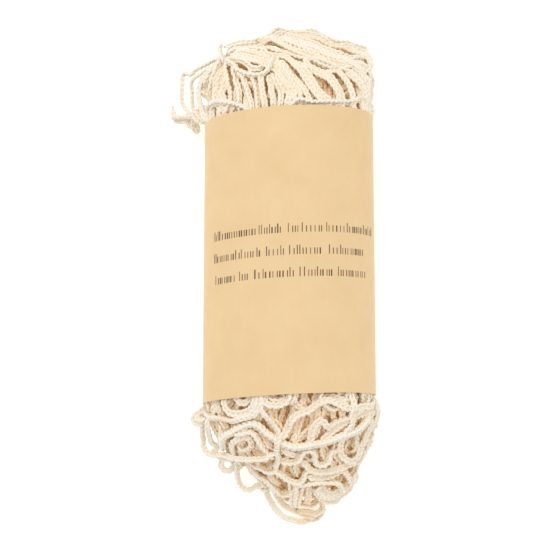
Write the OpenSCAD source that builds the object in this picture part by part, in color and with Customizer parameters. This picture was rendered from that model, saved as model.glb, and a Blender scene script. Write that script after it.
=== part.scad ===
// String shopping net, folded into a flat roll and held by a kraft paper band.
// The roll lies on its back. X runs across it, Y along it and Z up.
// The origin is the centre of the band's flat underside.

/* [Band] */
// Width of the banded roll across X
band_w = 69; // [64:0.5:74]
// Full height of the oval before the underside is flattened
band_h = 50; // [46:0.5:54]
// Length of the paper strip along the roll
band_len = 114; // [100:1:120]
// Thickness of the kraft paper
paper_t = 0.3; // [0.25:0.05:0.4]
// How far the strip's outer end laps over its inner end
lap_w = 22; // [18:1:24]
// Skew of the band's two edges, in degrees
band_skew = 2.9; // [0:0.1:4]

/* [Net] */
// Width of one knitted chain cord
cord_d = 2.8; // [2.4:0.1:3.2]
// Gap between the rolled net and the inside of the band
slip_gap = 0.5; // [0.4:0.1:1]
// How far the base folds stand out below the band
base_reach = 48; // [44:1:50]
// How far the handle folds stand out above the band
handle_reach = 38; // [34:1:40]

/* [Hidden] */

cotton = [0.95, 0.91, 0.82];
cotton_edge = [0.97, 0.94, 0.87];
kraft = [0.86, 0.69, 0.44];
glue_colour = [0.93, 0.92, 0.86];

facets = 96;           // sides of the oval
half_w = band_w / 2;
half_h = band_h / 2;
flat_cut = 2;          // what the table flattens off the oval's underside
glue_t = 0.1;
slit_w = 0.5;          // between the strip's inner end and the bend over it
glue_w = 16;
lap_t = paper_t + glue_t;
oval_z = lap_t + half_h - flat_cut;   // height of the oval's centre
net_inset = paper_t + slip_gap;
band_end = band_len / 2;
base_y = -band_end - base_reach;      // lowest point of the base folds
crown_y = band_end + handle_reach;    // furthest point of the handle folds

// The pocket between the folded layers of the net, which the handles lie in
pocket_w = 46;
pocket_z = [15, 31];
pocket_y = -70;
layer_gap = 0.4;       // between neighbouring soft pieces
straps_t = (pocket_z[1] - pocket_z[0] - 3 * layer_gap) / 2;   // one handle's folded straps
strap_rise = 8;        // how far the straps run on above the band
bed_gap = 0.3;         // round a cord that lies in the net's surface

// The crocheted base seam, over the base folds from left to right, as angles round the oval and Y
seam_route = [for (p = [[158, -64], [138, -66], [118, -68], [98, -70], [78, -71], [58, -69], [38, -66], [18, -63]])
    oval_point(p[0], p[1], 3.2)];
// The knitted mouth edge, over the roll just above the band, as angles round the oval and Y
mouth_route = [for (p = [[162, 66], [142, 64], [122, 63], [102, 64], [82, 66], [62, 65], [42, 64], [22, 65]])
    oval_point(p[0], p[1], 1.6)];
// Loose chain end beside the band's upper left corner
tail_route = [[-37, 62, 14], [-41, 58, 10], [-45, 57, 7], [-48, 61, 6]];

// A point at an angle round the oval, in millimetres inside it
function oval_point(angle, y, in) =
    [(half_w - in) * cos(angle), y, oval_z + (half_h - in) * sin(angle)];

// An ellipse by formula, flattened at the bottom, grown by g
module oval(g = 0) {
    intersection() {
        polygon([for (i = [0 : facets - 1]) let (a = 360 * i / facets)
            [(half_w + g) * cos(a), oval_z + (half_h + g) * sin(a)]]);
        translate([-band_w, lap_t - g])
            square([2 * band_w, 2 * band_h]);
    }
}

// A 2D shape drawn in X and Z, run along Y from y0 to y1
module along(y0, y1) {
    translate([0, y1, 0])
        rotate([90, 0, 0])
            linear_extrude(height = y1 - y0)
                children();
}

// The space between the band's two skewed edges, less in at both ends
module skewed_span(in = 0) {
    rise = half_w * 1.2 * tan(band_skew);
    reach = half_w * 1.2;
    y = band_end - in;
    translate([0, 0, -1])
        linear_extrude(height = band_h + 2)
            polygon([[-reach, -y - rise], [reach, -y + rise], [reach, y + rise], [-reach, y - rise]]);
}

// A round soft mass at a point
module lump(p, r) {
    translate(p)
        sphere(r = r, $fn = 28);
}

// A round cord of diameter d along a route
module cord(route, d) {
    for (i = [0 : len(route) - 2])
        hull() {
            lump_small(route[i], d / 2);
            lump_small(route[i + 1], d / 2);
        }
}

module lump_small(p, r) {
    translate(p)
        sphere(r = r, $fn = 16);
}

// A thin slice of the roll at y, used as the end of a hull
module roll_slice(y) {
    along(y, y + 1)
        oval(-net_inset);
}

// The folds of mesh that stand out below the band, sagging towards the tip
module base_folds() {
    hull() {
        roll_slice(-band_end - 4);
        lump([-27, -70, 17], 8);
        lump([27, -70, 18], 9);
        lump([-22, -70, 32], 9);
        lump([21, -70, 33], 9);
    }
    hull() {
        lump([-22, -76, 14], 9);
        lump([22, -76, 16], 9);
        lump([16, -82, 24], 9);
        lump([-14, -82, 18], 9);
        lump([18, -86, 12], 9);
        lump([-8, -88, 11], 8);
        lump([5, base_y + 7, 10], 7);
        lump([12, base_y + 12, 12], 7);
    }
}

// The folds of mesh above the band, under the handles
module mouth_folds() {
    hull() {
        roll_slice(band_end + 2);
        lump([-24, 70, 12], 10);
        lump([22, 72, 12], 10);
        lump([-22, 66, 30], 9);
        lump([22, 66, 30], 9);
        lump([0, 78, 11], 9);
    }
}

// The bag's mesh: a knitted tube of diamond net, folded lengthwise round the handles
module mesh_body() {
    color(cotton)
        difference() {
            union() {
                along(-band_end - 6, band_end + 4)
                    oval(-net_inset);
                intersection() {
                    base_folds();
                    along(base_y, -band_end)
                        oval(-net_inset);
                }
                mouth_folds();
            }
            translate([-pocket_w / 2, pocket_y, pocket_z[0]])
                cube([pocket_w, 2 * band_len, pocket_z[1] - pocket_z[0]]);
            cord(seam_route, cord_d + 1 + 2 * bed_gap);
            cord(mouth_route, cord_d + 2 * bed_gap);
            hull() handle_left_crown(layer_gap);
            hull() handle_right_crown(layer_gap);
            handle_right_link(layer_gap);
        }
}

// The folded loops of the left handle, grown by g, as the masses of one hull
module handle_left_crown(g = 0) {
    lump([-14, 72, 37], 9 + g);
    lump([-33, 71, 24], 10 + g);
    lump([-23, 78, 26], 9 + g);
    lump([-6, crown_y - 9, 25], 9 + g);
    lump([-35, 68, 13], 8.5 + g);
    lump([-6, 80, 16], 8 + g);
}

// The folded loops of the right handle, grown by g, as the masses of one hull
module handle_right_crown(g = 0) {
    lump([13, 72, 37], 9 + g);
    lump([25, 72, 28], 9 + g);
    lump([11, crown_y - 11, 25], 9 + g);
    lump([22, 79, 23], 10 + g);
    lump([24, 72, 14], 9 + g);
    lump([10, 80, 15], 7 + g);
}

// The right handle's straps where they rise out of the pocket into its crown, grown by g
module handle_right_link(g = 0) {
    hull() {
        translate([-12 - g, band_end + 2 - g, pocket_z[0] + layer_gap - g])
            cube([24 + 2 * g, 5 + 2 * g, 6 + 2 * g]);
        lump([10, 78, 15.5], 5.5 + g);
    }
}

// The left handle's straps, folded flat in the upper half of the pocket, grown by g
module left_straps(g = 0) {
    strap_pack((pocket_z[0] + pocket_z[1] + layer_gap) / 2, g);
}

// The right handle's straps, folded flat in the lower half of the pocket, grown by g
module right_straps(g = 0) {
    strap_pack(pocket_z[0] + layer_gap, g);
}

// One handle's straps in the pocket, from z0 up, grown by g
module strap_pack(z0, g) {
    size = [pocket_w - 2 * layer_gap, band_end + strap_rise - pocket_y, straps_t];
    translate([-size[0] / 2 - g, pocket_y + layer_gap - g, z0 - g])
        cube(size + [2 * g, 2 * g, 2 * g]);
}

// The left handle: a bunch of chain cords folded over above the band
module handle_left() {
    color(cotton_edge)
        difference() {
            union() {
                left_straps();
                hull() handle_left_crown();
            }
            right_straps(layer_gap);
            handle_right_link(layer_gap);
            handle_tack_envelopes(bed_gap);
            cord(mouth_route, cord_d + 2 * bed_gap);
        }
}

// The right handle, which lies under the left one in the pocket
module handle_right() {
    color(cotton_edge)
        difference() {
            union() {
                right_straps();
                hull() handle_right_crown();
                handle_right_link();
            }
            left_straps(layer_gap);
            hull() handle_left_crown(layer_gap);
            handle_tack_envelopes(bed_gap);
            cord(mouth_route, cord_d + 2 * bed_gap);
        }
}

// The four places where the handle ends are whipped to the mouth edge
module handle_tack_envelopes(g = 0) {
    for (x = [-16, -6, 7, 17])
        translate([x, 60, pocket_z[0] + 8])
            rotate([90, 0, 0])
                cylinder(r = 2.4 + g, h = 7 + 2 * g, center = true, $fn = 24);
}

module handle_tacks() {
    color(cotton)
        handle_tack_envelopes();
}

// The crocheted seam that closes the bag's base
module base_seam() {
    color(cotton_edge)
        cord(seam_route, cord_d + 1);
}

// The knitted edge round the bag's mouth
module mouth_edge() {
    color(cotton_edge)
        cord(mouth_route, cord_d);
}

// The knotted yarn tail
module yarn_tail() {
    color(cotton)
        difference() {
            cord(tail_route, cord_d + 1);
            hull() handle_left_crown(layer_gap);
            along(-band_end - 6, band_end + 4)
                oval(layer_gap);
        }
}

// The kraft strip, wrapped once round the roll, with its outer end lapped underneath
module paper_band() {
    color(kraft)
        intersection() {
            along(-band_len, band_len)
                union() {
                    difference() {
                        oval();
                        oval(-paper_t);
                        translate([lap_w / 2 - 1 - slit_w, lap_t - paper_t])
                            square([slit_w, 3 * paper_t]);
                    }
                    translate([-lap_w / 2, 0])
                        square([lap_w, paper_t]);
                    translate([lap_w / 2 - 1, 0])
                        square([1, lap_t + paper_t / 2]);
                }
            skewed_span();
        }
}

// The strip of paste that holds the lap
module band_glue() {
    color(glue_colour)
        intersection() {
            along(-band_len, band_len)
                translate([-lap_w / 2 + 1.5, paper_t])
                    square([glue_w, glue_t]);
            skewed_span(3);
        }
}

mesh_body();
base_seam();
mouth_edge();
handle_left();
handle_right();
handle_tacks();
yarn_tail();
paper_band();
band_glue();
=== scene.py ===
"""Looks of a cotton string shopping net, folded into a roll and held by a kraft paper band.

The net is made of knitted chain cords. Each cord is first a thread of points, laid over the roll's shape.
All the threads are relaxed together until the cords lie beside each other. Then a knitted chain is swept
along each one. Lengths of the net are in millimetres here, and meshes are made in metres.
"""
import math

import bpy
import numpy as np
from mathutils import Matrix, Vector, kdtree


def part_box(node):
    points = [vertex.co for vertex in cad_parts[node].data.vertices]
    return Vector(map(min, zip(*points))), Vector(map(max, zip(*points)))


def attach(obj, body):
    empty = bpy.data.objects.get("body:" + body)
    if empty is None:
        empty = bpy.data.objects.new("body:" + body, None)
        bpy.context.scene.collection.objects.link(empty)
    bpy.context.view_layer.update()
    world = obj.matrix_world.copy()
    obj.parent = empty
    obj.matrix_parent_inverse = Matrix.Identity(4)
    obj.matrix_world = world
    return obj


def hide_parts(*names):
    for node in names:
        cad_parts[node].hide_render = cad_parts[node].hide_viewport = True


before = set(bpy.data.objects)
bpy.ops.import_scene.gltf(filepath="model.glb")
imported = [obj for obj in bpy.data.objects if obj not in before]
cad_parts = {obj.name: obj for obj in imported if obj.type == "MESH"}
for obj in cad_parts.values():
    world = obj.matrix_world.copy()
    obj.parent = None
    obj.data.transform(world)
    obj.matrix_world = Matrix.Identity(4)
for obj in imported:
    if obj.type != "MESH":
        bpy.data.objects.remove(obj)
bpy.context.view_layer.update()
MM = 0.001
rng = np.random.default_rng(7)

# ---------- the roll's shape, from the frame

band_low, band_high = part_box("paper_band")
HALF_W = (band_high.x - band_low.x) / 2 / MM
FLAT_CUT = 2.0  # flattened off the oval's underside
LAP_T = 0.4  # the paper and paste below the oval
PAPER_TOP = 0.7  # the inside of the band's underside
HALF_H = ((band_high.z - band_low.z) / MM + FLAT_CUT - LAP_T) / 2
OVAL_Z = band_high.z / MM - HALF_H  # height of the oval's centre
BAND_END = 57.0  # the band's edges in its middle, along Y
BAND_HALF = 55.0  # nearly all of the band covers the roll up to here
BAND_SLOPE = math.tan(math.radians(2.9))  # of the band's skewed edges, and of the rows printed on it

CORD_D = 2.8
CORD_R = CORD_D / 2
PITCH = 2.0  # of the chain's stitches
MESH_SIDE = 20.0  # of the net's cells
FLOOR_Z = PAPER_TOP + CORD_R  # of the lowest centreline

# Sections of the roll: Y, left, right, top and bottom of the outermost cords' edges
SECTIONS = np.array([
    [-105, 2, 12, 9, 0.5], [-101, -2, 15, 12, 0.5], [-97, -6, 20, 17, 0.5], [-92, -10.5, 25, 22, 0.5],
    [-88, -14, 27, 27, 0.5], [-83, -19.5, 29.3, 32, 0.6], [-79, -25, 31.2, 36, 0.6],
    [-75, -29.5, 32.7, 40, 0.8], [-70, -32, 34.2, 43, 0.8], [-65, -34, 35.3, 45.5, 0.9],
    [-60, -34.6, 35.6, 47.4, 1.0], [-56, -34.1, 34.1, 48.0, 1.0], [56, -34.1, 34.1, 48.0, 1.0],
    [60, -34, 34.6, 47.4, 1.0], [64, -34.4, 35, 47, 1.2], [70, -35.4, 35.3, 46, 2],
    [76, -35.4, 35.3, 44, 3], [80, -33, 34.8, 42, 4.5], [84, -28.5, 33.5, 40, 6], [88.5, -20, 27, 36, 9],
    [92, -8, 15, 32, 14], [95, -4, 9, 28, 18],
])


def section(y):
    """Middle X, half width, middle Z and half height of the cords' centrelines at y."""
    left, right, top, bottom = (np.interp(y, SECTIONS[:, 0], SECTIONS[:, i]) for i in (1, 2, 3, 4))
    half_x = np.maximum((right - left) / 2 - CORD_R, 1.0)
    half_z = np.maximum((top - bottom) / 2 - CORD_R, 1.0)
    return (left + right) / 2, half_x, (top + bottom) / 2, half_z


def shell(phi, y, s=1.0):
    """A point at angle phi round the roll, at y, at the share s of the way out from its axis."""
    cx, hx, cz, hz = section(y)
    x, z = cx + s * hx * np.cos(phi), cz + s * hz * np.sin(phi)
    return np.stack([x, np.broadcast_to(y, np.shape(phi)), z], -1)


# ---------- threads

STEP = 2.6  # between a thread's points
PAST_BAND, BESIDE_BAND = 1, 2  # where a free thread may leave the roll's shape


class Thread:
    """One cord: its route, and how firmly it keeps to it."""

    def __init__(self, group, points, hold=0.0, closed=False, free=0):
        self.group = group
        self.points = resample(np.asarray(points, float), STEP, closed)
        self.hold = hold
        self.closed = closed
        self.free = free


def resample(points, step, closed=False):
    """The polyline smoothed by a Catmull-Rom spline and cut into equal steps."""
    if closed:
        pts = np.concatenate([points[-1:], points, points[:2]])
    else:
        pts = np.concatenate([2 * points[:1] - points[1:2], points, 2 * points[-1:] - points[-2:-1]])
    t = np.linspace(0, 1, 8, endpoint=False)[:, None]
    out = []
    for i in range(len(pts) - 3):
        a, b, c, d = pts[i:i + 4]
        out.append(0.5 * (2 * b + (c - a) * t + (2 * a - 5 * b + 4 * c - d) * t ** 2
                          + (3 * b - a - 3 * c + d) * t ** 3))
    out.append(pts[-2:-1])
    line = np.concatenate(out)
    length = np.concatenate([[0], np.cumsum(np.linalg.norm(np.diff(line, axis=0), axis=1))])
    count = max(int(round(length[-1] / step)), 3)
    at = np.linspace(0, length[-1], count + 1)
    if closed:
        at = at[:-1]
    return np.stack([np.interp(at, length, line[:, i]) for i in range(3)], -1)


RUN_END, TURN_START = 52, 54  # of a ring's runs along the roll, and of the turns between them
ZIGZAG = 0.07  # of the net's cells, in radians round the roll


def ring(phi_a, phi_b, reach_a, reach_b, s, phase):
    """A closed cord: along the roll at phi_a, round the handle end, back at phi_b, round the base end."""
    up = np.linspace(-RUN_END, RUN_END, 27)
    turn = np.linspace(0, 1, 9)[1:-1]
    arc = np.sin(np.pi * turn) ** 0.8
    across = (1 - np.cos(np.pi * turn)) / 2
    zigzag = ZIGZAG * np.sin(2 * np.pi * up / MESH_SIDE / 2 + phase)
    sink = s * (1 - 0.12 * np.sin(np.pi * turn))
    top = shell(phi_a + (phi_b - phi_a) * across, TURN_START + (reach_b - TURN_START) * arc, sink)
    base = shell(phi_b + (phi_a - phi_b) * across, -TURN_START + (reach_a + TURN_START) * arc, sink)
    return np.concatenate([shell(phi_a + zigzag, up, s), top, shell(phi_b - zigzag, up[::-1], s), base])


def arch(phi_a, phi_b, inner, reach, s_a, s_b):
    """An open cord: out from under the band at phi_a, round an end of the roll, and back in at phi_b."""
    turn = np.linspace(0, 1, 15)
    arc = np.sin(np.pi * turn) ** 0.75
    across = (1 - np.cos(np.pi * turn)) / 2
    s = s_a + (s_b - s_a) * turn
    return shell(phi_a + (phi_b - phi_a) * across, inner + (reach - inner) * arc, s)


# Each layer of rings: how many runs there are round the roll, how far out they lie, and how much sooner
# those on top turn back at the base end and at the handle end
LAYERS = [(38, 1.0, 28, 24), (32, 0.87, 16, 14), (24, 0.72, 6, 2)]
RING_REACH = 80
# The arches inside each end: how far out they lie, and how many there are
ARCHES = [(0.9, 10), (0.82, 17), (0.72, 24), (0.61, 24), (0.5, 20), (0.38, 14), (0.22, 8)]
NEAR_SKIN = 0.8  # arches further out than this turn back sooner
UNDER_COUNT = 18  # more arches low down in each end


def roll_threads():
    """The folded net: layers of long rings, shorter folds inside both ends, and more under the ends."""
    threads = []
    for count, s, short_a, short_b in LAYERS:
        for k in range(0, count, 4):
            for a, b in ((k, k + 2), (k + 1, k + 3)):
                phi = [2 * np.pi * (i + 0.3 * rng.uniform(-1, 1)) / count for i in (a, b)]
                high = max(np.sin(np.mean(phi)), 0)
                reach_a = -(RING_REACH - short_a * high) - rng.uniform(-7, 9)
                reach_b = RING_REACH - short_b * high + rng.uniform(-9, 8)
                route = ring(*phi, reach_a, reach_b, s, rng.uniform(0, 6))
                threads.append(Thread("net", route, 0.02, True))
    for s, count in ARCHES:
        for end, far in ((-1, 90 if s > NEAR_SKIN else 95), (1, 84 if s > NEAR_SKIN else 91)):
            for k in range(count):
                phi = 2 * np.pi * (k + rng.uniform(-0.4, 0.4)) / count
                width = rng.uniform(0.35, 0.9) / max(s, 0.45)
                reach = end * (far - rng.uniform(0, 24) - 6 * s)
                inner = end * rng.uniform(36, 46)
                route = arch(phi, phi + width, inner, reach, s, s * rng.uniform(0.75, 1.1))
                threads.append(Thread("net", route, 0.01))
    for end, far in ((-1, 97), (1, 90)):
        for k in range(UNDER_COUNT):
            phi = np.pi * (1.08 + 0.72 * k / (UNDER_COUNT - 1))
            reach = end * (far - rng.uniform(0, 13))
            route = arch(phi, phi + rng.uniform(0.25, 0.7), end * 46, reach, 0.97, 0.9)
            threads.append(Thread("net", route, 0.02))
    return threads


# ---------- cords laid on given routes

TILT = math.radians(9.73)  # the bundle is seen this far from straight above
DISTANCE = 600.0  # from the camera to the point it looks at
AIM = (-5.7, -6.7, OVAL_Z)


def dome(x, y):
    """Height of the top of the roll's shape above x, y."""
    cx, hx, cz, hz = section(y)
    return cz + hz * math.sqrt(max(0.0, 1 - ((x - cx) / hx) ** 2))


def lay(route, depth=0.0):
    """A route given as X and Y in the plane across the line of sight through the middle of the roll. It is
    laid on the roll, depth below its top, or at a point's own height where it has a third value."""
    points = []
    for seen_x, seen_y, *height in route:
        x, y = seen_x, seen_y
        for _ in range(8):
            z = height[0] if height else max(dome(x, y) - depth, FLOOR_Z)
            nearer = (z - AIM[2]) * math.cos(TILT) - (y - AIM[1]) * math.sin(TILT)
            scale = (DISTANCE - nearer) / DISTANCE
            x = AIM[0] + (seen_x - AIM[0]) * scale
            y = AIM[1] + ((seen_y - AIM[1]) * scale - (z - AIM[2]) * math.sin(TILT)) / math.cos(TILT)
        points.append((x, y, z))
    return np.array(points)


WAVER = 0.4  # of a cord laid on a given route, about that route


def cord(group, route, depth=0.0, hold=0.3, free=0):
    """One cord laid on a given route, which wavers a little."""
    thread = Thread(group, lay(route, depth), hold, free=free)
    knots = rng.normal(0, WAVER, (len(thread.points) // 3 + 2, 3))
    thread.points += at(knots, np.linspace(0, 1, len(thread.points)))
    return thread


def family(group, first, last, count, depth=0.0, hold=0.3, free=0):
    """Neighbouring cords, from the first route to the last."""
    made = []
    for share in np.linspace(0, 1, count):
        route = [tuple(np.array(a) + (np.array(b) - a) * share + rng.normal(0, 0.25, len(a)))
                 for a, b in zip(first, last)]
        made.append(cord(group, route, depth + rng.uniform(0, 1.2), hold, free))
    return made


# The crocheted seam over the base folds
SEAM_ROUTE = [(-25.9, -77.5), (-25.9, -75.6), (-25.5, -73.1), (-24, -71.2), (-21.8, -69.6), (-19.3, -67.6),
    (-16.6, -66.5), (-14.2, -66.7), (-12, -68.8), (-10, -71), (-6.2, -73.4), (-1.8, -75), (3.6, -75.5),
    (10, -74.7), (15.5, -73.7), (20.9, -71.8), (26.3, -69.9), (30.6, -66.6), (33.3, -63.4), (35, -60),
    (35, -52)]
# The cords on top of the base folds, from the band down to the tip: how deep each lies, and its route
BASE_CORDS = [
    (0, [(-34.5, -54), (-34.3, -59), (-33.4, -62.5), (-31, -64.3), (-26.5, -65.5), (-23.4, -65.7),
      (-19.7, -65.1), (-16.2, -64), (-13.6, -63), (-13.2, -60.5), (-12.3, -57), (-12, -50)]),
    (0, [(-27, -50), (-26.7, -58.5), (-25.3, -61.2), (-23, -62.4), (-20.3, -62.3), (-17.2, -61.3),
      (-15.3, -59.5), (-14.6, -56), (-14.5, -50)]),
    (0.5, [(-20.5, -50), (-20.1, -56.2), (-19.5, -58.1), (-18, -58.8), (-16.6, -57.5), (-16, -50)]),
    (0, [(-12, -48), (-10.5, -56.4), (-8.3, -58.5), (-4, -59.6), (-0.8, -58), (0.3, -55.3), (0.5, -48)]),
    (1, [(-9.5, -48), (-8.5, -55), (-6, -57), (-3, -57), (-2, -54), (-2, -48)]),
    (0, [(-3, -73.5), (-0.8, -69.3), (1.4, -65.5), (4.7, -62.9), (9, -61.2), (12.2, -58.5), (16.5, -56.9),
      (20.9, -58.5), (25.2, -60.2), (30.6, -59.6), (33.8, -57.5), (34, -50)]),
    (1, [(10, -60), (13, -56.8), (17.5, -55.4), (22, -57), (25, -59)]),
    (0, [(-11.5, -50), (-11.5, -58), (-11, -61), (-8.6, -64.3), (-6, -67.4), (-4, -70.5), (-4.2, -74.5),
      (-4.8, -79), (-4.8, -83.4), (-4.4, -86)]),
    (0, [(24.6, -50), (24.6, -54), (25.7, -57.5), (25.2, -64), (25.5, -67), (23, -70.5), (21.5, -74.5),
      (22.2, -79.5), (24, -81.6), (26.6, -80.6), (29, -76.6), (31.2, -71.5), (33, -67), (34.6, -61),
      (35, -54)]),
    (1, [(9, -73.5), (10, -68.5), (12.4, -64.6), (14.4, -66), (16.5, -67.7), (19.8, -66), (23.6, -64.5),
      (28.4, -61.8), (31.7, -58), (31, -50)]),
    (2, [(13, -74), (17, -69.8), (20.9, -67.2), (26, -64.5), (30.6, -62.4), (33.5, -58), (33, -50)]),
    (0, [(-22, -71.5), (-19.5, -69.8), (-16.5, -69.4), (-14, -71), (-12.2, -74), (-10.4, -77.5),
      (-8.6, -79.4), (-6, -80)]),
    (1.5, [(-22, -79), (-22.4, -75.8), (-21.2, -73), (-18.4, -71.6), (-16, -73), (-16.3, -76.4),
      (-18.6, -77.4), (-19.8, -75.4)]),
    (0, [(-16.5, -83.2), (-14.4, -84), (-11.9, -85.1), (-9.6, -86.3), (-7.1, -86.5), (-4.8, -86),
      (-3, -87.2), (-1, -88.8), (1.8, -90), (4.4, -90), (6, -88), (7.2, -85.4)]),
    (1, [(-17.2, -83.4), (-14.7, -86), (-12.7, -88), (-10.4, -88.8), (-8.2, -90.4), (-6, -93),
      (-3.6, -95)]),
    (2.5, [(-16, -84.6), (-13.6, -87.4), (-11.5, -89.6), (-9, -91.6)]),
    (0, [(-4.6, -81.6), (0.6, -82), (4.2, -80.4), (5.6, -78.4), (9.5, -78), (10.6, -80.8), (12.4, -83.4),
      (15.6, -82.4), (17.6, -79.4), (20, -77.4), (23.4, -77)]),
    (1, [(5.6, -82), (10, -85.6), (15.5, -85.4), (20.9, -84.4), (23.6, -83.4), (28.4, -81.2),
      (29.5, -77.4)]),
    (1.5, [(8, -87.4), (12, -88.6), (17, -87.6), (20.4, -86), (23, -87), (24.6, -90)]),
    (0, [(2.6, -91.6), (6.5, -91.1), (10.8, -90.5), (15, -90.2), (19.3, -90.5), (21.5, -92.8),
      (20.7, -95.3), (17.8, -96.4), (14.7, -95.9), (12.2, -94.2), (11.3, -91.9)]),
    (1.5, [(13, -91.6), (14, -94), (17, -94.6), (19.4, -93)]),
    (2, [(10.4, -92), (11.4, -95), (13.4, -97.2), (16.4, -98), (19.6, -97), (22.4, -95), (24.6, -91.6),
      (25.4, -88)]),
    (1, [(2.8, -90.6), (3.1, -95), (2.8, -97.6), (2.6, -100.1), (3.7, -101.8)]),
    (2, [(0.4, -90), (1.2, -94), (1, -97), (1.4, -99.6), (3.4, -102.4)]),
    (2, [(5, -91.4), (4.6, -94.4), (3.8, -97.4), (4, -100.4)]),
    (3, [(36.4, -53), (36.6, -57), (35, -60.5), (36, -62.6), (34.4, -66), (34.2, -70.5), (32.4, -73),
      (32.2, -76.5), (30.4, -79.8), (29, -83.4), (27.8, -86.6), (26, -89.6), (24.6, -93), (21.8, -96.4)]),
    (1.5, [(33.5, -70), (31.6, -74), (30.8, -78), (28.6, -81.6), (27.6, -85), (25.4, -88.6), (23.8, -92)]),
    (2, [(0.5, -48), (1, -56.4), (2.8, -59.8), (6.3, -61.4), (9.5, -60)]),
    (3, [(6.5, -48), (7, -54), (6, -58.5), (9.5, -63), (9, -67.5), (5, -71), (3.5, -75)]),
    (4, [(3.5, -50), (4, -56), (3.4, -62), (2, -68), (0.6, -72.5)]),
    (3, [(-18, -62), (-17, -64), (-14.6, -66.5), (-10.5, -69.8)]),
    (3, [(18, -50), (19, -57), (20.5, -62), (21.5, -68), (18, -72.5)]),
    (2, [(-30.6, -50), (-30, -58), (-29.5, -63)]),
    (2, [(-33, -50), (-32, -57), (-31.6, -62)]),
    (3, [(-23.6, -50), (-23, -56), (-24, -59.5)]),
    (3, [(-29, -66.5), (-27, -70), (-27.6, -74), (-26.6, -77)]),
    (3, [(-31.6, -66), (-30.4, -70), (-31, -74), (-29.6, -76)]),
    (3, [(-16, -68.8), (-17.5, -73), (-19.5, -77), (-18, -80.5)]),
    (3, [(-2, -75), (1, -78), (-1, -81.5), (-1.5, -86.5), (2, -90)]),
    (3, [(1, -76), (3, -79), (2, -84), (4, -88)]),
    (3, [(13, -75), (13.5, -79), (17, -83), (17.5, -88), (14, -90.4)]),
    (3, [(18, -74), (19, -79), (21.4, -83)]),
    (2.5, [(27, -71), (27.4, -76), (25, -79)]),
    (2.5, [(8, -92), (8, -94.4), (7.7, -99.6)]),
    (2.5, [(-12, -81), (-13, -83), (-10, -85), (-7, -84.4), (-6, -82)]),
    (2.5, [(-7, -87), (-7.4, -91), (-4, -94.6), (0, -94), (2, -91.6)]),
]
# The loops that hang free of the base folds
BASE_LOOPS = [
    [(-34.9, -64, 26), (-35.3, -68.4, 22), (-35.6, -71, 19), (-35.6, -73.5, 17), (-35, -76.6, 16),
     (-33.3, -78, 16), (-31.2, -79.1, 16), (-28.6, -79.6, 17), (-25.9, -79.8, 20), (-24.4, -79.4, 24),
     (-21.4, -80.3, 27), (-17.2, -80.9, 29), (-13.1, -80.5, 31), (-9.7, -80.5, 33), (-6, -79, 35)],
    [(-33.3, -65, 30), (-33, -69.4, 26), (-32.4, -72.5, 22), (-31.8, -75.6, 19), (-30.6, -78.6, 17),
     (-28.4, -80.4, 16), (-25.6, -80.6, 19), (-22.6, -79.8, 24)],
    [(-24.6, -79.6, 18), (-27.1, -81.5, 13), (-27.4, -83.8, 11), (-25.7, -85.5, 10), (-23.8, -85.7, 10),
     (-22.4, -83.9, 11), (-22.6, -81.6, 13), (-24.4, -80.2, 16)],
    [(-21.6, -81.4, 20), (-19.6, -82.4, 16), (-19.4, -84, 13), (-21, -84.6, 11)],
    [(-21.4, -80.6, 18), (-21.2, -83.6, 14), (-20.9, -86.3, 11), (-20.5, -89.1, 9), (-19.5, -91.3, 7.5),
     (-18.1, -92.8, 7), (-16.1, -93.1, 7), (-13.9, -92.6, 8), (-12, -92.2, 10), (-10, -91.6, 12)],
    [(-13.6, -90.4, 10), (-12.4, -91.2, 10), (-10.6, -92.8, 9), (-9.2, -92, 12)],
    [(-9.3, -90, 14), (-9.3, -93.3, 9), (-8.8, -95.6, 6), (-7.6, -97.6, 4), (-6.2, -100.1, 3),
     (-4.5, -102.1, 2.4), (-2.8, -104.1, 2.2), (-1.2, -105.1, 2.1), (0.9, -105.5, 2.1), (3.1, -106.2, 2.1),
     (5.4, -106.4, 2.1), (8.2, -105.5, 2.3), (10.8, -105.2, 3), (12, -104.4, 4), (13.4, -101.6, 6),
     (12.9, -98.8, 8), (10.8, -96.4, 11)],
    [(-8, -90.4, 15), (-6.6, -93, 11), (-5.4, -95.6, 8), (-3.8, -97.8, 6), (-1.6, -99.8, 5), (0.6, -101, 5),
     (3.4, -101.8, 5), (5.6, -102.6, 5), (8.2, -103.4, 4.6), (11, -104, 5)],
    [(-5, -92.4, 13), (-3, -95, 11), (-1, -96.4, 10), (1.4, -97.4, 10), (4, -98.6, 9), (6.8, -99.6, 8),
     (9.2, -99.6, 8), (11, -98.6, 9), (12.6, -97.4, 11)],
    [(3.7, -101.6, 7), (7.9, -102.7, 6), (10.5, -103.1, 6), (12.2, -102.5, 6.5), (13.8, -100.8, 8)],
]
# The first and last cord of the loops that stand out below the band's left corner
FLARE = (
    [(-31, -56, 22), (-34.2, -61, 24), (-36, -63.2, 25), (-37.9, -65, 25), (-38.2, -66, 25),
     (-36.6, -66.3, 25), (-34.4, -64.6, 25), (-31, -57, 22)],
    [(-31, -56, 21), (-33.6, -61.8, 23), (-34.9, -63.4, 24), (-36.2, -64.8, 25), (-36.4, -65.8, 25),
     (-35.2, -65.8, 25), (-33.8, -64, 24), (-31, -57, 21)],
)
# A loop beside the base folds, on the right
RIGHT_LOOP = [(33, -56, 27), (34.4, -59, 27), (35.8, -61.4, 26), (35.4, -63.8, 25), (34.4, -66.6, 25),
    (33, -70, 24)]

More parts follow.
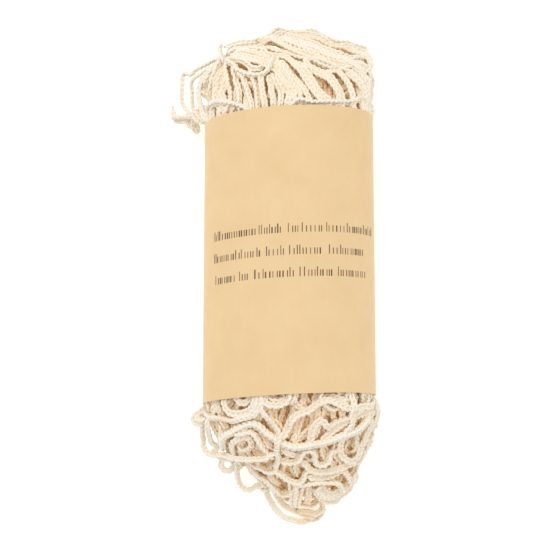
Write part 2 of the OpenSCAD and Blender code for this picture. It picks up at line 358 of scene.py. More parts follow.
# The cords of the handle end: the group, how they lie, and one route, or the first and the last of several
HANDLE_CORDS = [
    ("mouth_edge", {"depth": -2.2, "hold": 0.9},
     [(-34, 48), (-33, 58.5), (-31.6, 62), (-28.4, 63.6), (-24.8, 63.3), (-21, 62), (-18, 60.6),
      (-15, 60.4), (-12, 60), (-9, 55), (-5, 52), (-2, 56), (0.6, 61.4), (3, 64.4), (6, 64.2), (10.7, 63.4),
      (16, 63.7), (21.9, 63.3), (26.7, 63.4), (30.8, 65), (33.6, 62), (34, 55)]),
    # the left handle's fan, from the knot of loops down to the band
    ("handle_left", {"count": 2},
     [(-24.8, 79.9), (-26, 75.8), (-25.4, 71.6), (-24.2, 67.5), (-23.6, 63.3), (-23.5, 50)],
     [(-22.8, 77), (-23, 73.6), (-20.6, 70.4), (-20, 66.9), (-19.6, 62.7), (-19.4, 50)]),
    ("handle_left", {"count": 2},
     [(-21, 75.6), (-19, 71.6), (-17, 68.4), (-16, 65), (-15.6, 61), (-15.6, 50)],
     [(-16.5, 74.4), (-14, 70.8), (-13, 67), (-12.6, 63), (-12.4, 58), (-12.4, 50)]),
    ("handle_left", {"count": 2},
     [(-11.4, 74.2), (-10.6, 68.7), (-10, 63.9), (-9.4, 60), (-9.4, 50)],
     [(-7.8, 74.4), (-7, 68.7), (-6.2, 64.5), (-6.4, 61), (-6.4, 50)]),
    ("handle_left", {},
     [(-6.6, 75.4), (-5.4, 71), (-3.6, 66.6), (-3.4, 62), (-3, 50)]),
    ("handle_left", {"depth": 0.5},
     [(-5.2, 74.6), (-3, 70.4), (-0.4, 67), (0.6, 63.4), (1.4, 58), (1.6, 50)]),
    ("handle_left", {"count": 3},
     [(-24, 80.4), (-19, 80.6), (-14, 79.8), (-9, 78.4), (-5, 75.6), (-1.6, 71), (0.4, 66.9), (-0.4, 62.6),
      (-1.2, 50)],
     [(-25, 82.6), (-19.4, 82.8), (-13.6, 82.2), (-8, 80.6), (-3, 78), (0.6, 74), (3, 70), (4, 66),
      (4.4, 52)]),
    ("handle_left", {"count": 5},
     [(-27.2, 81.1), (-31.3, 77.5), (-34.3, 74.6), (-36, 70.4), (-35.9, 65.1), (-34.8, 60.4), (-33.6, 50)],
     [(-27, 78), (-29.4, 74), (-30.6, 70), (-31.4, 66.3), (-31, 62), (-31, 50)]),
    ("handle_left", {"count": 2, "depth": 1},
     [(-26.4, 76.6), (-28.6, 71.6), (-29.2, 66.6), (-28.4, 62), (-28.2, 50)],
     [(-25, 74), (-27, 69.8), (-27.2, 65.6), (-26, 62), (-25.8, 50)]),
    # the loops that lie across its top
    ("handle_left", {"depth": -0.3},
     [(-14.2, 82.9), (-9.4, 82.3), (-7.7, 79.9), (-8.2, 76.3), (-11.2, 74.8), (-16.5, 74.6), (-21.3, 75.8),
      (-23.6, 78.1), (-25.4, 80.6)]),
    ("handle_left", {"depth": -0.2},
     [(-26.6, 79.3), (-23, 80.9), (-19.6, 80.2), (-17.4, 77.6), (-14, 76.4), (-10.6, 77.6)]),
    ("handle_left", {},
     [(-27.4, 82), (-22.6, 82.4), (-18, 84), (-13, 84.4), (-9.6, 83.6)]),
    # the right handle's bunch, which crosses to the right edge
    ("handle_right", {"count": 2},
     [(-23.6, 84.6), (-18.9, 84), (-15.3, 83.6), (-10.6, 84.6), (-5.9, 84), (-1.1, 82.9), (3.6, 81.1),
      (8.9, 79.3), (14.2, 77.7), (17.8, 77.5), (22.5, 79.3), (27.2, 80.5), (32, 81.1), (34, 76)],
     [(-24, 82.6), (-19.4, 81.6), (-15, 81.4), (-10, 82.4), (-5.4, 81.4), (-1.1, 80.6), (3.4, 78.9),
      (8.6, 77.2), (13.6, 75.9), (18, 76), (22.5, 77.4), (27.2, 78.4), (31, 78.4), (33.2, 73)]),
    ("handle_right", {"count": 5},
     [(-7, 88.4), (-2.4, 85.8), (2.4, 83.4), (7.1, 81.6), (12.5, 80.1), (16, 78.9), (19.6, 77.5),
      (24.3, 75.8), (27.8, 73.4), (29.6, 70.4), (30.8, 66.3), (31, 50)],
     [(-1.7, 89.4), (2.4, 89), (7.1, 87.8), (10.7, 86.4), (13.6, 84.8), (17.2, 83.4), (21.3, 82.3),
      (25.5, 81.1), (29, 78.7), (31.4, 75.8), (32.6, 71), (33, 52)]),
    ("handle_right", {"count": 2},
     [(-2.9, 79.9), (0, 75.8), (3, 72.2), (5.9, 69.2), (8.3, 65.7), (9.5, 62), (10, 50)],
     [(0.6, 79.6), (4, 75.6), (7.4, 71.2), (10.4, 67), (12.7, 63.4), (13, 50)]),
    ("handle_right", {"count": 2},
     [(4.2, 78.4), (7.4, 75), (9.6, 71.8), (12, 67.6), (14.6, 63.6), (15.6, 58), (16, 50)],
     [(5.6, 79.4), (9.2, 76.2), (13.6, 73.6), (17, 70.4), (19, 66), (19.6, 62), (19.4, 50)]),
    ("handle_right", {"count": 3},
     [(16, 76.3), (17.6, 72.8), (19.2, 68.7), (21.4, 64.5), (22.4, 60), (23.4, 50)],
     [(24.2, 76.2), (27, 72.2), (29, 68.7), (30.2, 64.5), (30.6, 60), (30.4, 50)]),
    ("handle_right", {"count": 2, "depth": 1},
     [(33.6, 82), (34.2, 77.6), (34.4, 70), (34, 62), (33.6, 50)],
     [(31.6, 79), (32.6, 74), (33, 68), (32.4, 62), (32, 50)]),
    # the outermost loops, which stand free of the rest
    ("handle_right", {"count": 3, "hold": 0.45, "free": PAST_BAND},
     [(-13.5, 87.6, 28), (-9.5, 89, 28), (-6.2, 91.4, 28), (-4.4, 93.4, 27), (-2.4, 92, 26),
      (3.3, 91.9, 26), (8.9, 92, 26), (13, 90.2, 25), (19, 87.8, 25), (23.6, 87.6, 24), (27, 85.8, 23),
      (31.4, 84.6, 22), (33, 81.6, 22), (33.8, 78, 22)],
     [(-12, 86.4, 29), (-8, 87.4, 29), (-4.6, 88.4, 29), (-3, 88.8, 29), (-0.6, 89.2, 28), (4.2, 89.6, 28),
      (8.6, 89.2, 28), (12.6, 87.8, 27), (17.8, 85.6, 27), (22.4, 85, 26), (26, 83.6, 25), (29.6, 82, 25),
      (31.4, 79.6, 25), (32, 76, 25)]),
    ("handle_right", {"count": 3, "hold": 0.4, "free": PAST_BAND},
     [(-25.4, 84, 27), (-23.4, 86, 26), (-19.5, 87.2, 26), (-15.3, 87.2, 26), (-11.2, 88, 26),
      (-8.2, 88.9, 26), (-4.7, 89.2, 26), (0, 88.6, 26)],
     [(-24.6, 82.4, 29), (-22.6, 84.2, 29), (-19, 85, 29), (-15, 85.4, 29), (-11, 86.2, 29), (-8, 86.8, 29),
      (-4.4, 86.6, 29), (0, 85.6, 29)]),
    ("handle_right", {"count": 4, "hold": 0.4, "free": PAST_BAND},
     [(-4, 88.6, 23), (2, 89.6, 22), (8, 89.6, 22), (13, 88.2, 22), (18.6, 86, 21), (23.4, 85, 21),
      (27, 83.4, 20), (30.6, 81, 20), (32, 77, 20)],
     [(-4, 84.6, 26), (2, 86, 26), (7.6, 86, 25), (12.4, 84.6, 25), (17.4, 83, 24), (22, 82, 24),
      (25.6, 80.6, 23), (29, 78, 23), (30.6, 74, 22)]),
    ("handle_left", {"hold": 0.8, "free": PAST_BAND},
     [(-28, 87.6, 29), (-28.1, 85, 29.5), (-27.6, 82.6, 30), (-26.2, 80.4, 31), (-24.6, 77, 31)]),
    ("handle_left", {"hold": 0.85, "free": PAST_BAND},
     [(-24, 77, 31), (-27, 80.4, 30), (-29.2, 81.4, 28), (-32, 79.3, 26), (-37.2, 75.8, 22),
      (-40, 73.4, 20), (-42.2, 75.2, 18), (-42.7, 70.4, 17), (-43.1, 65.1, 16), (-41.8, 60.4, 16),
      (-38.6, 57, 17), (-34.4, 53, 20), (-32, 48, 22)]),
    ("handle_left", {"hold": 0.85, "free": PAST_BAND},
     [(-24, 75, 31), (-28, 78.4, 30), (-31.6, 77.4, 28), (-35.6, 74.8, 25), (-38.6, 72.6, 22),
      (-39.9, 69.2, 20), (-39.8, 64.8, 19), (-38.5, 60.6, 19), (-36, 56.6, 20), (-32, 50, 22)]),
    ("handle_left", {"hold": 0.85, "free": PAST_BAND},
     [(-25, 79.5, 31), (-28, 79.9, 30), (-31.6, 76, 29), (-34.6, 73.4, 27), (-36.2, 70.4, 26),
      (-36.4, 65.4, 25), (-35.4, 60.4, 25), (-33.4, 55, 26), (-31.6, 48, 26)]),
    ("yarn_tail", {"hold": 0.8, "free": PAST_BAND},
     [(-47.4, 61.4, 9), (-47.5, 58.8, 8), (-46.4, 56.6, 7), (-43.4, 55.4, 8), (-40.2, 55.8, 11),
      (-37, 57.4, 14), (-34.6, 59.4, 18), (-31, 58, 22)]),
    ("yarn_tail", {"hold": 0.8, "free": PAST_BAND},
     [(-46.8, 60, 10), (-46.6, 57.6, 10), (-44.6, 56.8, 11), (-41.4, 57.2, 13), (-38.4, 58.6, 16),
      (-35, 61, 20), (-31, 60, 24)]),
    ("yarn_tail", {"hold": 0.8, "free": BESIDE_BAND},
     [(-44.8, 56.2, 6), (-41.6, 55, 8), (-38.6, 54.8, 10), (-36.8, 53.4, 10), (-36.2, 51.4, 9),
      (-37.2, 50.4, 8), (-38, 51.6, 8)]),
]


def from_rows(rows):
    """The cords of a table's rows."""
    made = []
    for group, options, *routes in rows:
        if len(routes) == 1:
            made.append(cord(group, *routes, **options))
        else:
            made += family(group, *routes, **options)
    return made


def base_cords():
    """The cords of the base end."""
    made = [cord("base_seam", SEAM_ROUTE, hold=0.5)]
    made += [cord("base", route, depth) for depth, route in BASE_CORDS]
    made += [cord("base", route, hold=0.5, free=PAST_BAND) for route in BASE_LOOPS]
    made += family("base", *FLARE, count=3, hold=0.55, free=PAST_BAND)
    return made + [cord("base", RIGHT_LOOP, hold=0.6, free=PAST_BAND)]


# ---------- relaxing the threads

WELD_REACH = 9.0  # a cord's end is knitted onto the nearest cord this close
WELD_GAP = 1.3
SLACK = 1.03  # a cord may lengthen by this much
NEAR = CORD_D + CORD_R  # pairs of points closer than this are kept apart
SQUASH = 0.9  # cords press together to this share of their width
STIFF = 5.6  # points three steps apart stay this far from each other
EAGER = 1.4  # each point moves by this much more than the mean of its pairs
REACH = (-98, 93.5)  # of all but the free cords, along Y


def point_tree(p):
    """A search tree of the points."""
    tree = kdtree.KDTree(len(p))
    for i, co in enumerate(p):
        tree.insert(co, i)
    tree.balance()
    return tree


def near_pairs(p, strand, order):
    """Pairs of points closer than NEAR that aren't neighbours on one thread."""
    tree = point_tree(p)
    a, b = [], []
    for i, co in enumerate(p):
        for _, j, _ in tree.find_range(co, NEAR):
            if j > i and (strand[i] != strand[j] or abs(order[i] - order[j]) > 2):
                a.append(i)
                b.append(j)
    return np.array(a, int), np.array(b, int)


def lumps(phi, y):
    """How far the bare ends bulge out of and dent into the smooth shape, as a share of its radius."""
    bare = np.clip((np.abs(y) - BAND_HALF - 3) / 6, 0, 1)
    return bare * (0.045 * np.sin(0.46 * y + 2.6 * np.sin(2 * phi)) + 0.035 * np.sin(5 * phi + 0.33 * y)
                   + 0.025 * np.sin(11 * phi - 0.9 * y))


def inside(q, free):
    """Brings points outside the roll's shape back to its surface. Free ones only stay off the floor."""
    loose = (free == BESIDE_BAND) | ((free == PAST_BAND) & (np.abs(q[:, 1]) > BAND_HALF + 3))
    q[loose, 2] = np.maximum(q[loose, 2], FLOOR_Z)
    p = q[~loose]
    cx, hx, cz, hz = section(p[:, 1])
    dx, dz = (p[:, 0] - cx) / hx, (p[:, 2] - cz) / hz
    limit = 1 + lumps(np.arctan2(dz, dx), p[:, 1])
    out = np.maximum(np.sqrt(dx * dx + dz * dz), limit) / limit
    p[:, 0] = cx + dx / out * hx
    p[:, 2] = np.maximum(cz + dz / out * hz, FLOOR_Z)
    p[:, 1] = np.clip(p[:, 1], *REACH)
    q[~loose] = p


def push(p, a, b, move, n):
    """Moves each point by the mean over its pairs. A pair's two points move opposite ways."""
    count = np.bincount(a, minlength=n) + np.bincount(b, minlength=n)
    count = np.maximum(count, 1)[:, None]
    total = np.stack([np.bincount(a, move[:, i], n) - np.bincount(b, move[:, i], n) for i in range(3)], -1)
    p += EAGER * total / count


def relax(threads, rounds=140):
    """Moves all the points until cords keep their length, bend gently and lie beside each other."""
    p = np.concatenate([t.points for t in threads])
    n = len(p)
    strand = np.concatenate([np.full(len(t.points), i) for i, t in enumerate(threads)])
    order = np.concatenate([np.arange(len(t.points)) for t in threads])
    hold = np.concatenate([np.full(len(t.points), t.hold) for t in threads])[:, None]
    free = np.concatenate([np.full(len(t.points), t.free) for t in threads])
    start = np.cumsum([0] + [len(t.points) for t in threads])
    edges, skips = [], []
    for i, t in enumerate(threads):
        ids = np.arange(start[i], start[i + 1])
        if t.closed:
            edges.append(np.stack([ids, np.roll(ids, -1)], -1))
            skips.append(np.stack([ids, np.roll(ids, -3)], -1))
        else:
            edges.append(np.stack([ids[:-1], ids[1:]], -1))
            skips.append(np.stack([ids[:-3], ids[3:]], -1))
    edges, skips = np.concatenate(edges), np.concatenate(skips)
    ends = []
    tree = point_tree(p)
    for i, t in enumerate(threads):
        for e in () if t.closed else (start[i], start[i + 1] - 1):
            others = [j for _, j, far in tree.find_n(p[e], 24) if strand[j] != i and far < WELD_REACH]
            if abs(p[e, 1]) > BAND_HALF and others:
                ends.append((e, others[0]))
    ends = np.array(ends)
    home = p.copy()
    rest = np.linalg.norm(p[edges[:, 0]] - p[edges[:, 1]], axis=1) * SLACK
    for step in range(rounds):
        if step % 10 == 0:
            a, b = near_pairs(p, strand, order)
        p += hold * (home - p)
        for pair, low, high in ((edges, rest, rest), (skips, STIFF, 1e9)):
            d = p[pair[:, 0]] - p[pair[:, 1]]
            far = np.linalg.norm(d, axis=1) + 1e-9
            want = np.clip(far, low, high)
            push(p, pair[:, 0], pair[:, 1], d * (0.5 * (want - far) / far)[:, None], n)
        d = p[a] - p[b]
        far = np.linalg.norm(d, axis=1) + 1e-9
        move = np.maximum(CORD_D * SQUASH - far, 0) * 0.5 / far
        push(p, a, b, d * move[:, None], n)
        d = p[ends[:, 0]] - p[ends[:, 1]]
        far = np.linalg.norm(d, axis=1) + 1e-9
        push(p, ends[:, 0], ends[:, 1], d * (0.5 * (np.minimum(far, WELD_GAP) - far) / far)[:, None], n)
        inside(p, free)
    for i, t in enumerate(threads):
        t.points = p[start[i]:start[i + 1]]


# ---------- knitting

# One stitch of the chain: across, along in pitches, and out, from its base round its loop to the next base
STITCH = np.array([
    [-0.05, 0.02, -0.50], [-0.24, 0.28, 0.05], [-0.56, 0.66, 0.44], [-0.88, 1.08, 0.28],
    [-0.78, 1.46, -0.14], [-0.28, 1.68, -0.40], [0.28, 1.68, -0.40], [0.78, 1.46, -0.14],
    [0.88, 1.08, 0.28], [0.56, 0.66, 0.44], [0.24, 0.28, 0.05], [0.05, 0.02, -0.50],
    [0.00, 0.52, -0.80],
])
YARN_R = 0.56
CORE_R = 0.62  # the plied yarn that fills the chain's middle
CORE_OUT = -0.12
CORE_POINTS = 2  # a stitch
SIDES = 5
THICKER = {"base_seam": 1.22, "mouth_edge": 1.2, "base": 1.14, "handle_left": 1.06, "handle_right": 1.06,
           "yarn_tail": 1.15}
FREE_SHARE = 0.86  # a free cord hangs slack and looks this much narrower


def frames(points, turn):
    """Two normals along a thread, turned slowly by turn."""
    tangent = np.gradient(points, axis=0)
    tangent /= np.linalg.norm(tangent, axis=1)[:, None] + 1e-9
    normal = np.zeros_like(points)
    side = np.cross(tangent[0], (0.3, 0.2, 1.0))
    side /= np.linalg.norm(side)
    for i, t in enumerate(tangent):
        side = side - t * (side @ t)
        side /= np.linalg.norm(side)
        normal[i] = side
    other = np.cross(tangent, normal)
    c, s = np.cos(turn)[:, None], np.sin(turn)[:, None]
    return c * normal + s * other, c * other - s * normal


def at(values, t):
    """values read at fractional places t, evenly spaced from 0 to 1."""
    place = np.linspace(0, 1, len(values))
    return np.stack([np.interp(t, place, values[:, i]) for i in range(values.shape[1])], -1)


def knit(thread):
    """The chain-stitched cord along a thread: a tube of yarn round its loops, and a core strand."""
    points = thread.points
    if thread.closed:
        points = np.concatenate([points, points[:1]])
    points = resample(points, 1.0)
    length = np.linalg.norm(np.diff(points, axis=0), axis=1).sum()
    stitches = max(int(length / PITCH), 2)
    by_hand = thread.hold > 0.1  # its stitches face up, and it hardly twists
    face = rng.normal(np.pi, 0.5) if by_hand else rng.uniform(0, 2 * np.pi)
    turn = face + np.cumsum(rng.normal(0, 0.02 if by_hand else 0.05, len(points)))
    across, out = frames(points, turn)
    k = np.repeat(np.arange(stitches - 1), len(STITCH))
    stitch = np.tile(STITCH, (stitches - 1, 1))
    place = (k + stitch[:, 1]) / stitches
    centre = at(points, place)
    bare = np.clip((np.abs(centre[:, 1]) - BAND_HALF) / 4, 0, 1)
    full = THICKER.get(thread.group, 1) * (FREE_SHARE if thread.free else 1)
    thick = 1 + (full - 1) * bare
    wobble = thick + rng.normal(0, 0.05, len(k))
    guide = at(out, place)
    yarn = centre + at(across, place) * (stitch[:, :1] * wobble[:, None]) \
        + guide * (stitch[:, 2:] * wobble[:, None])
    tangent = np.gradient(yarn, axis=0)
    tangent /= np.linalg.norm(tangent, axis=1)[:, None] + 1e-9
    u = guide - tangent * (guide * tangent).sum(1)[:, None]
    u /= np.linalg.norm(u, axis=1)[:, None] + 1e-9
    v = np.cross(tangent, u)
    cord_tube = tube(yarn, u, v, (YARN_R * thick)[:, None, None])
    place = np.linspace(0.4 / stitches, 1 - 0.6 / stitches, CORE_POINTS * (stitches - 1))
    side, up = at(across, place), at(out, place)
    return joined([cord_tube, tube(at(points, place) + CORE_OUT * up, side, up, CORE_R)])


def joined(tubes):
    """Several tubes as one."""
    verts, quads, caps, places = zip(*tubes)
    starts = np.cumsum([0] + [len(v) for v in verts])
    quads = [q + start for q, start in zip(quads, starts)]
    caps = [c + start for c, start in zip(caps, starts)]
    return tuple(np.concatenate(arrays) for arrays in (verts, quads, caps, places))


def tube(path, u, v, radius):
    """A closed tube along a path with normals u and v: vertices, quads, end caps, and each vertex's place
    on the yarn: its length along it, and the cosine and sine of its angle round it."""
    angle = np.arange(SIDES) * 2 * np.pi / SIDES
    c, s = np.cos(angle)[None, :, None], np.sin(angle)[None, :, None]
    verts = (path[:, None] + radius * (u[:, None] * c + v[:, None] * s)).reshape(-1, 3)
    n = len(path)
    i = np.arange(n - 1)[:, None] * SIDES
    j = np.arange(SIDES)[None, :]
    j2 = (j + 1) % SIDES
    quads = np.stack([i + j, i + j2, i + j2 + SIDES, i + j + SIDES], -1).reshape(-1, 4)
    caps = np.stack([np.arange(SIDES)[::-1], np.arange(SIDES) + (n - 1) * SIDES])
    along = np.concatenate([[0], np.cumsum(np.linalg.norm(np.diff(path, axis=0), axis=1))])
    place = np.stack(np.broadcast_arrays(along[:, None], np.cos(angle), np.sin(angle)), -1).reshape(-1, 3)
    return verts, quads, caps, place


def mesh_object(name, verts, *face_sets):
    """A smooth mesh from arrays in millimetres, one array of faces for each number of corners."""
    mesh = bpy.data.meshes.new(name)
    sizes = np.concatenate([np.full(len(f), f.shape[1]) for f in face_sets])
    mesh.vertices.add(len(verts))
    mesh.vertices.foreach_set("co", (verts * MM).astype(np.float32).ravel())
    mesh.loops.add(int(sizes.sum()))
    mesh.loops.foreach_set("vertex_index", np.concatenate([f.ravel() for f in face_sets]).astype(np.int32))
    mesh.polygons.add(len(sizes))
    mesh.polygons.foreach_set("loop_start", (np.cumsum(sizes) - sizes).astype(np.int32))
    mesh.update(calc_edges=True)
    mesh.polygons.foreach_set("use_smooth", np.ones(len(sizes), bool))
    mesh.validate()
    obj = bpy.data.objects.new(name, mesh)
    bpy.context.scene.collection.objects.link(obj)
    return obj


FULL_DEPTH = 7.0


def sunk(verts):
    """How deep each point lies in the roll's shape, from 0 at its surface to 1 at FULL_DEPTH and below."""
    cx, hx, cz, hz = section(verts[:, 1])
    hx, hz = hx + CORD_R, hz + CORD_R
    out = np.sqrt(((verts[:, 0] - cx) / hx) ** 2 + ((verts[:, 2] - cz) / hz) ** 2)
    return np.clip((1 - out) * np.minimum(hx, hz) / FULL_DEPTH, 0, 1)


PRESSED = 0.986  # the inside of the paper, as a share of the oval


def pressed(verts):
    """Points that stand out a little are pressed inside the paper, less and less beyond the band's ends."""
    past = np.maximum(np.abs(verts[:, 1] - verts[:, 0] * BAND_SLOPE) - BAND_END, 0)
    out = np.hypot(verts[:, 0] / HALF_W, (verts[:, 2] - OVAL_Z) / HALF_H)
    proud = np.maximum(out - PRESSED - 0.02 * past, 0) * np.clip((1.03 - out) / 0.02, 0, 1)
    share = 1 - proud / np.maximum(out, 1e-6)
    return np.stack([verts[:, 0] * share, verts[:, 1], OVAL_Z + (verts[:, 2] - OVAL_Z) * share], -1)


def yarn_object(name, parts):
    """One mesh of several tubes, with the attributes that the cotton material reads."""
    verts, quads, caps, places = joined(parts)
    verts = pressed(verts)
    obj = mesh_object(name, verts, quads, caps)
    # how deep each point lies in the roll, which the cotton's painted shade and painted glow read
    deep = obj.data.attributes.new("deep", "FLOAT", "POINT")
    deep.data.foreach_set("value", sunk(verts).astype(np.float32))
    yarn = obj.data.attributes.new("yarn", "FLOAT_VECTOR", "POINT")
    yarn.data.foreach_set("vector", places.astype(np.float32).ravel())
    return obj


# ---------- materials

class Nodes:
    """A material's node tree, with short ways to add and join nodes."""

    def __init__(self, name):
        self.material = bpy.data.materials.new(name)
        self.material.use_nodes = True
        self.tree = self.material.node_tree
        self.bsdf = self.tree.nodes["Principled BSDF"]

    def add(self, kind, **settings):
        node = self.tree.nodes.new(kind)
        for key, value in settings.items():
            setattr(node, key, value)
        return node

    def join(self, source, target):
        self.tree.links.new(source, target)

    def put(self, value, socket):
        """Sets a socket's number, or joins another socket to it."""
        if isinstance(value, bpy.types.NodeSocket):
            self.join(value, socket)
        else:
            socket.default_value = value

    def math(self, operation, a, b=0.0):
        node = self.add("ShaderNodeMath", operation=operation)
        self.put(a, node.inputs[0])
        self.put(b, node.inputs[1])
        return node.outputs[0]

    def mix(self, share, a, b, blend="MIX"):
        node = self.add("ShaderNodeMix", data_type="RGBA", blend_type=blend)
        self.put(share, node.inputs["Factor"])
        self.put((*a, 1) if isinstance(a, tuple) else a, node.inputs["A"])
        self.put((*b, 1) if isinstance(b, tuple) else b, node.inputs["B"])
        return node.outputs["Result"]

    def finish(self, colour, normal, values):
        """The material, with its colour, its normal, and its other values by their sockets' names."""
        self.join(colour, self.bsdf.inputs["Base Color"])
        if normal is not None:
            self.join(normal, self.bsdf.inputs["Normal"])
        for socket, value in values.items():
            self.bsdf.inputs[socket].default_value = value
        return self.material

    def noise(self, scale, detail=2.0, stretch=(1, 1, 1)):
        place = self.add("ShaderNodeTexCoord").outputs["Object"]
        mapping = self.add("ShaderNodeMapping")
        mapping.inputs["Scale"].default_value = stretch
        self.join(place, mapping.inputs["Vector"])
        node = self.add("ShaderNodeTexNoise")
        node.inputs["Scale"].default_value = scale
        node.inputs["Detail"].default_value = detail
        self.join(mapping.outputs["Vector"], node.inputs["Vector"])
        return node.outputs["Fac"]

    def bump(self, height, distance, below=None):
        node = self.add("ShaderNodeBump")
        node.inputs["Distance"].default_value = distance
        node.inputs["Strength"].default_value = 1.0
        self.join(height, node.inputs["Height"])
        if below is not None:
            self.join(below, node.inputs["Normal"])
        return node.outputs["Normal"]


def cotton(name, light, deep):
    """Spun cotton: uneven in colour, with its twist and fibres. Painted shade makes it darker and warmer
    the deeper it lies in the folds, and a painted glow there stands for light passed from fibre to fibre.
    """
    m = Nodes(name)
    painted_shade_and_glow_share = m.add("ShaderNodeAttribute", attribute_name="deep").outputs["Fac"]
    # painted shade: the colour goes from the light colour to the darker, warmer deep colour the deeper the
    # cord lies in the folds
    colour = m.mix(m.math("POWER", painted_shade_and_glow_share, 0.8), light, deep)
    patch = m.noise(240, 3)
    colour = m.mix(m.math("MULTIPLY", patch, 0.25), colour, (0.97, 0.92, 0.82))
    fleck = m.math("MULTIPLY", m.math("GREATER_THAN", m.noise(1500, 1), 0.76), 0.2)
    colour = m.mix(fleck, colour, (0.62, 0.45, 0.27))
    # painted glow: an emission that grows with depth in the folds stands for light passed from fibre to
    # fibre
    painted_glow = m.mix(painted_shade_and_glow_share, (0, 0, 0), (0.024, 0.021, 0.009))  # light from fibre to fibre
    m.join(painted_glow, m.bsdf.inputs["Emission Color"])
    yarn = m.add("ShaderNodeAttribute", attribute_name="yarn").outputs["Vector"]
    split = m.add("ShaderNodeSeparateXYZ")
    m.join(yarn, split.inputs[0])
    phase = m.math("MULTIPLY", split.outputs[0], 5.2)
    twist = m.math("ADD", m.math("MULTIPLY", m.math("SINE", phase), split.outputs[1]),
                   m.math("MULTIPLY", m.math("COSINE", phase), split.outputs[2]))
    fibres = m.bump(m.noise(3600, 3), 0.00006, m.bump(twist, 0.00004))
    return m.finish(colour, fibres, {"Roughness": 0.92, "Specular IOR Level": 0.2, "Sheen Weight": 0.08,
                                     "Sheen Roughness": 0.6, "Emission Strength": 1.0})


def kraft():
    """Kraft paper: mottled, with short fibres across it, a faint machine grain and dull sheen."""
    m = Nodes("kraft")
    colour = m.mix(m.noise(90, 4), (0.77, 0.545, 0.28), (0.875, 0.65, 0.375))
    fibre = m.noise(420, 3, (1, 0.18, 1))
    colour = m.mix(m.math("MULTIPLY", fibre, 0.35), colour, (0.76, 0.53, 0.27))
    speck = m.math("MULTIPLY", m.math("GREATER_THAN", m.noise(1300, 1), 0.74), 0.35)
    colour = m.mix(speck, colour, (0.6, 0.4, 0.2))
    grain = m.bump(m.noise(2600, 3), 0.00005)
    waves = m.bump(m.noise(120, 2, (1, 0.3, 1)), 0.0006, grain)
    return m.finish(colour, waves, {"Roughness": 0.72, "Specular IOR Level": 0.35, "Sheen Weight": 0.14,
                                    "Sheen Roughness": 0.45})


def paste():
    """Dried paste: dull, slightly yellow and uneven."""
    m = Nodes("paste")
    colour = m.mix(m.noise(400, 3), (0.80, 0.76, 0.62), (0.88, 0.84, 0.70))
    return m.finish(colour, m.bump(m.noise(700, 2), 0.00008), {"Roughness": 0.45})


def ink():
    """Dark brown printing ink, thin enough for the paper's fibre to show."""
    m = Nodes("ink")
    colour = m.mix(m.noise(1800, 3), (0.075, 0.042, 0.028), (0.13, 0.08, 0.055))
    return m.finish(colour, m.bump(m.noise(2600, 3), 0.00004), {"Roughness": 0.7})


def pale_floor():
    """A lit white table."""
    m = Nodes("floor")
    colour = m.mix(m.noise(8, 2), (0.90, 0.90, 0.90), (0.93, 0.93, 0.93))
    return m.finish(colour, None, {"Roughness": 0.8, "Emission Color": (1, 1, 1, 1),
                                   "Emission Strength": 0.35})


# ---------- the band's print

STROKE_W = (0.26, 0.34, 0.5)
SMALL_H, TALL_H = 2.5, 3.7
# Each row: its Y at the middle of the band, and where its words start and end across the band, in X
PRINT_ROWS = [
    (5.9, [(-29.5, -3), (-0.5, 12.5), (14.5, 33)]),
    (-2.9, [(-29.5, -11), (-9, -2), (0, 13.5), (15.5, 29)]),
    (-11.6, [(-29, -21), (-19.5, -15), (-13.5, 1.5), (4, 17), (19, 30.5)]),
]


def stroke(x, y, width, height):
    """A thin closed block of ink on the band: vertices and faces."""
    corners = []
    for lift in (-0.08, 0.05):
        for along_y in (y, y + height):
            for side in (-1, 1):
                angle = math.acos(x / HALF_W)
                slope = math.hypot(HALF_W * math.sin(angle), HALF_H * math.cos(angle))
                angle -= side * width / 2 / slope
                corners.append(((HALF_W + lift) * math.cos(angle), along_y,
                                OVAL_Z + (HALF_H + lift) * math.sin(angle)))
    faces = [(0, 2, 3, 1), (4, 5, 7, 6), (0, 1, 5, 4), (2, 6, 7, 3), (0, 4, 6, 2), (1, 3, 7, 5)]
    return corners, faces


def print_strokes():
    """Rows of plain upright strokes in word groups. They stand for print and are no letters."""
    verts, faces = [], []
    for y, words in PRINT_ROWS:
        for start, end in words:
            x, tall = start, True
            while x < end:
                height = TALL_H if tall or rng.random() < 0.2 else SMALL_H
                v, f = stroke(x, y + x * BAND_SLOPE, rng.choice(STROKE_W), height)
                faces += [[len(verts) + i for i in face] for face in f]
                verts += v
                squeeze = math.sqrt(1 - (x / HALF_W) ** 2 * 0.9)  # for an even spacing along the paper
                x += rng.choice((1.0, 1.25, 1.7)) * squeeze
                tall = False
    return np.array(verts), np.array(faces)


# ---------- whippings

WHIPPING_X = (-16, -6, 7, 17)
WHIPPING_R = 2.0
WHIPPING_TURNS = 6


def whipping(x):
    """A plain yarn wound round a handle's end where it meets the mouth edge."""
    low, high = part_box("handle_tacks")
    y0, y1, z = low.y / MM + YARN_R, high.y / MM - YARN_R, (low.z + high.z) / 2 / MM
    t = np.linspace(0, 1, WHIPPING_TURNS * 12)
    turn = 2 * np.pi * WHIPPING_TURNS * t
    path = np.stack([x + WHIPPING_R * np.cos(turn), y0 + (y1 - y0) * t, z + WHIPPING_R * np.sin(turn)], -1)
    u, v = frames(path, np.zeros(len(path)))
    return tube(path, u, v, YARN_R)


# ---------- building

threads = roll_threads() + base_cords() + from_rows(HANDLE_CORDS)
relax(threads)

# Each cotton's second colour is painted shade, for cords deep in the folds
net_cotton = cotton("net_cotton", (0.95, 0.87, 0.74), (0.94, 0.73, 0.47))
edge_cotton = cotton("edge_cotton", (0.96, 0.89, 0.78), (0.94, 0.75, 0.50))
handle_cotton = cotton("handle_cotton", (0.96, 0.89, 0.76), (0.94, 0.75, 0.49))

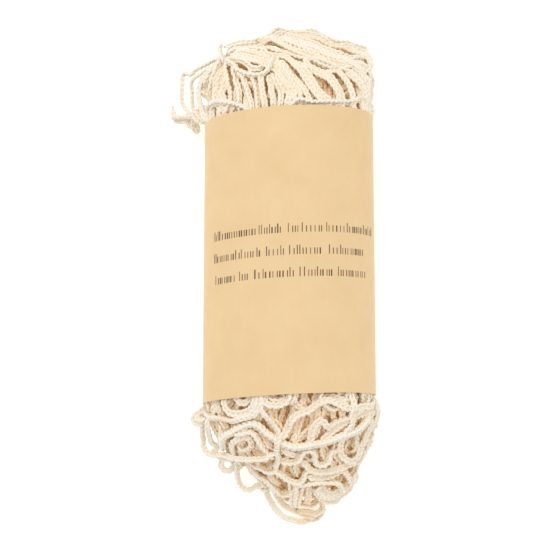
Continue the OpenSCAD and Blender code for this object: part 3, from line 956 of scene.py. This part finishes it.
# Each group of threads: the pieces' name, their material, their slot and the CAD node they stand for
GROUPS = {
    "net": ("net_folds", net_cotton, "cotton_net", "mesh_body"),
    "base": ("base_folds", net_cotton, "cotton_net", "mesh_body"),
    "base_seam": ("base_seam_cord", edge_cotton, "cotton_edge", "base_seam"),
    "mouth_edge": ("mouth_edge_cord", edge_cotton, "cotton_edge", "mouth_edge"),
    "handle_left": ("handle_left_cords", handle_cotton, "cotton_handle", "handle_left"),
    "handle_right": ("handle_right_cords", handle_cotton, "cotton_handle", "handle_right"),
    "yarn_tail": ("tail_cord", edge_cotton, "cotton_edge", "yarn_tail"),
}


MOST_TRIANGLES = 180000  # in one piece


def split(parts):
    """The tubes in as few even lists as keep each below MOST_TRIANGLES."""
    sizes = [2 * len(quads) + len(caps) * (SIDES - 2) for _, quads, caps, _ in parts]
    count = math.ceil(sum(sizes) / (MOST_TRIANGLES * 0.97))
    lists = [[] for _ in range(count)]
    done = 0
    for part, size in zip(parts, sizes):
        lists[int(count * (done + size / 2) / sum(sizes))].append(part)
        done += size
    return lists


for group, (name, look, slot, node) in GROUPS.items():
    lists = split([knit(t) for t in threads if t.group == group])
    for i, parts in enumerate(lists):
        piece = yarn_object(f"{name}_{i + 1}" if len(lists) > 1 else name, parts)
        piece.data.materials.append(look)
        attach(piece, "net_roll")
        if i == 0:
            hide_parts(node)

whippings = yarn_object("handle_whippings", [whipping(x) for x in WHIPPING_X])
whippings.data.materials.append(edge_cotton)
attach(whippings, "net_roll")
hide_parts("handle_tacks")

band_print = mesh_object("band_print", *print_strokes())
band_print.data.polygons.foreach_set("use_smooth", np.zeros(len(band_print.data.polygons), bool))
band_print.data.materials.append(ink())
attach(band_print, "paper_sleeve")

for node, look in (("paper_band", kraft()), ("band_glue", paste())):
    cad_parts[node].data.materials.clear()
    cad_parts[node].data.materials.append(look)

# ---------- floor, light and camera

FLOOR_HALF = 3000
floor_corners = FLOOR_HALF * np.array([[-1.0, -1, 0], [1, -1, 0], [1, 1, 0], [-1, 1, 0]])
floor = mesh_object("floor", floor_corners, np.array([[0, 1, 2, 3]]))
floor.data.materials.append(pale_floor())


def light(name, place, size, power):
    data = bpy.data.lights.new(name, "AREA")
    data.size = size
    data.energy = power
    obj = bpy.data.objects.new(name, data)
    obj.location = place
    obj.rotation_euler = (-Vector(place)).to_track_quat("-Z", "Y").to_euler()
    bpy.context.scene.collection.objects.link(obj)


light("key", (-0.5, 0.6, 1.3), 0.8, 8)
light("fill", (0.9, -0.5, 1.1), 1.2, 4)
world = bpy.data.worlds.new("studio")
world.use_nodes = True
world.node_tree.nodes["Background"].inputs["Color"].default_value = (1, 1, 1, 1)
world.node_tree.nodes["Background"].inputs["Strength"].default_value = 0.68
bpy.context.scene.world = world
bpy.context.scene.view_settings.view_transform = "Standard"
bpy.context.scene.cycles.diffuse_bounces = 10  # light goes deep into the pale folds

camera_data = bpy.data.cameras.new("camera")
camera_data.lens = 97.3
camera_data.sensor_width = 36
camera_data.clip_end = 20
camera = bpy.data.objects.new("camera", camera_data)
camera.location = (Vector(AIM) + Vector((0, -math.sin(TILT), math.cos(TILT))) * DISTANCE) * MM
camera.rotation_euler = (TILT, 0, 0)
bpy.context.scene.collection.objects.link(camera)
bpy.context.scene.camera = camera
